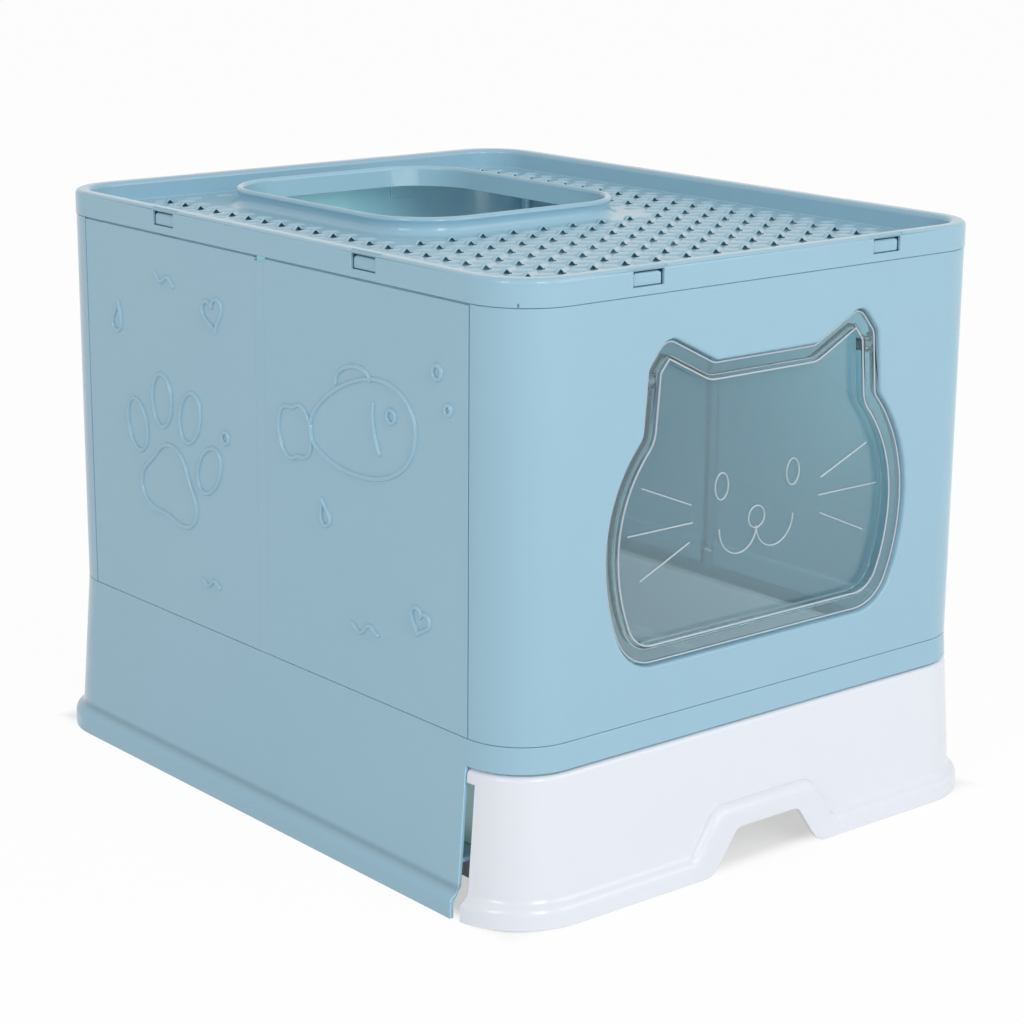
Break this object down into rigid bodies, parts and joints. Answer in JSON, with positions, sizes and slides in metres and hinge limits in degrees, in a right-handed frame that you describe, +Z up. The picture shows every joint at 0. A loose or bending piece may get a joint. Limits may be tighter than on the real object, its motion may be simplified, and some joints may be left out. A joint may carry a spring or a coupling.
{
  "type": "top-entry litter box",
  "caption": "Boxed litter box with a sunk perforated lid and collared top entry, a clear swinging front flap, fold-hinged walls and a pull-out litter drawer.",
  "frame": {"origin": "on the ground under the middle of the box", "axes": "+Z up, the front with flap and drawer faces -Y, +X to the right seen from the front"},
  "size_m": [0.415, 0.513, 0.3775],
  "materials": {
    "blue_plastic": "satin moulded polypropylene",
    "white_plastic": "satin moulded polypropylene",
    "clear_plastic": "clear tinted, glossy",
    "frosted_plastic": "frosted",
    "pin_steel": "drawn wire"
  },
  "bodies": {
    "base": {"base_frame": "blue_plastic"},
    "drawer": {"litter_drawer": "white_plastic"},
    "enclosure": {"front_panel": "blue_plastic", "rear_panel": "blue_plastic", "left_side_panel": "blue_plastic", "right_side_panel": "blue_plastic", "left_front_hinge_pin": "pin_steel", "left_rear_hinge_pin": "pin_steel", "right_front_hinge_pin": "pin_steel", "right_rear_hinge_pin": "pin_steel"},
    "lid": {"top_lid": "blue_plastic"},
    "flap": {"flap_door": "clear_plastic", "flap_pin_left": "frosted_plastic", "flap_pin_right": "frosted_plastic"}
  },
  "joints": [
    {"name": "drawer_slide", "type": "slide", "parent": "base", "child": "drawer", "axis": [0, -1, 0], "range_m": [0, 0.42]},
    {"name": "enclosure_lift", "type": "slide", "parent": "base", "child": "enclosure", "axis": [0, 0, 1], "range_m": [0, 0.12]},
    {"name": "lid_lift", "type": "slide", "parent": "enclosure", "child": "lid", "axis": [0, 0, 1], "range_m": [0, 0.1]},
    {"name": "flap_swing", "type": "hinge", "parent": "enclosure", "child": "flap", "pos_m": [0, -0.2363, 0.31], "axis": [1, 0, 0], "range_deg": [-80, 80]}
  ]
}
